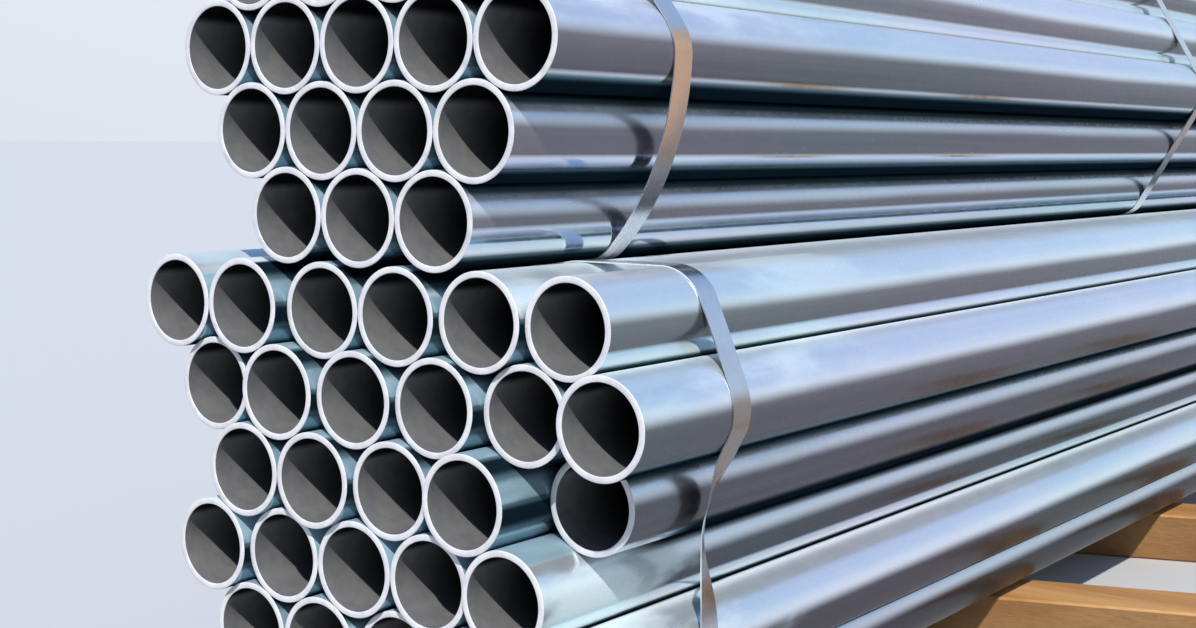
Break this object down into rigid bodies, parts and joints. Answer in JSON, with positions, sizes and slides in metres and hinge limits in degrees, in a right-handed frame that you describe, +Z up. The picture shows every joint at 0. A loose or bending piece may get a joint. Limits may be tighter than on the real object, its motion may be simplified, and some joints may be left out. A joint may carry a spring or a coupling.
{
  "type": "stack of steel tubes",
  "caption": "Stack of round galvanised steel tubes in two strapped bundles, nested one on the other, lying on sawn timber bearers.",
  "frame": {"origin": "on the ground under the middle of the stack: the middle of the whole's box across and along, at the bearers' undersides", "axes": "+Y along the tubes, from the ends that the picture shows to the far ones; +X across the rows, to the right as seen at the shown ends; +Z up"},
  "size_m": [0.9742, 6.045, 0.6439],
  "materials": {
    "galvanised_tube": "bright zinc coating with a faint spangle",
    "steel_strap": "smooth bright steel strapping",
    "strap_seal": "crimped sheet steel",
    "bearer_timber": "rough sawn softwood, orange-tan"
  },
  "bodies": {
    "root": {"lower_row_1": "galvanised_tube", "lower_row_2": "galvanised_tube", "lower_row_3": "galvanised_tube", "lower_row_4": "galvanised_tube", "lower_row_5": "galvanised_tube", "lower_row_6": "galvanised_tube", "upper_row_1": "galvanised_tube", "upper_row_2": "galvanised_tube", "upper_row_3": "galvanised_tube", "upper_row_4": "galvanised_tube", "upper_row_5": "galvanised_tube", "lower_strap_1": "steel_strap", "lower_seal_1": "strap_seal", "lower_strap_2": "steel_strap", "lower_seal_2": "strap_seal", "lower_strap_3": "steel_strap", "lower_seal_3": "strap_seal", "lower_strap_4": "steel_strap", "lower_seal_4": "strap_seal", "upper_strap_1": "steel_strap", "upper_seal_1": "strap_seal", "upper_strap_2": "steel_strap", "upper_seal_2": "strap_seal", "upper_strap_3": "steel_strap", "upper_seal_3": "strap_seal", "upper_strap_4": "steel_strap", "upper_seal_4": "strap_seal", "upper_strap_5": "steel_strap", "upper_seal_5": "strap_seal", "bearer_1": "bearer_timber", "bearer_2": "bearer_timber", "bearer_3": "bearer_timber", "bearer_4": "bearer_timber"}
  },
  "joints": []
}
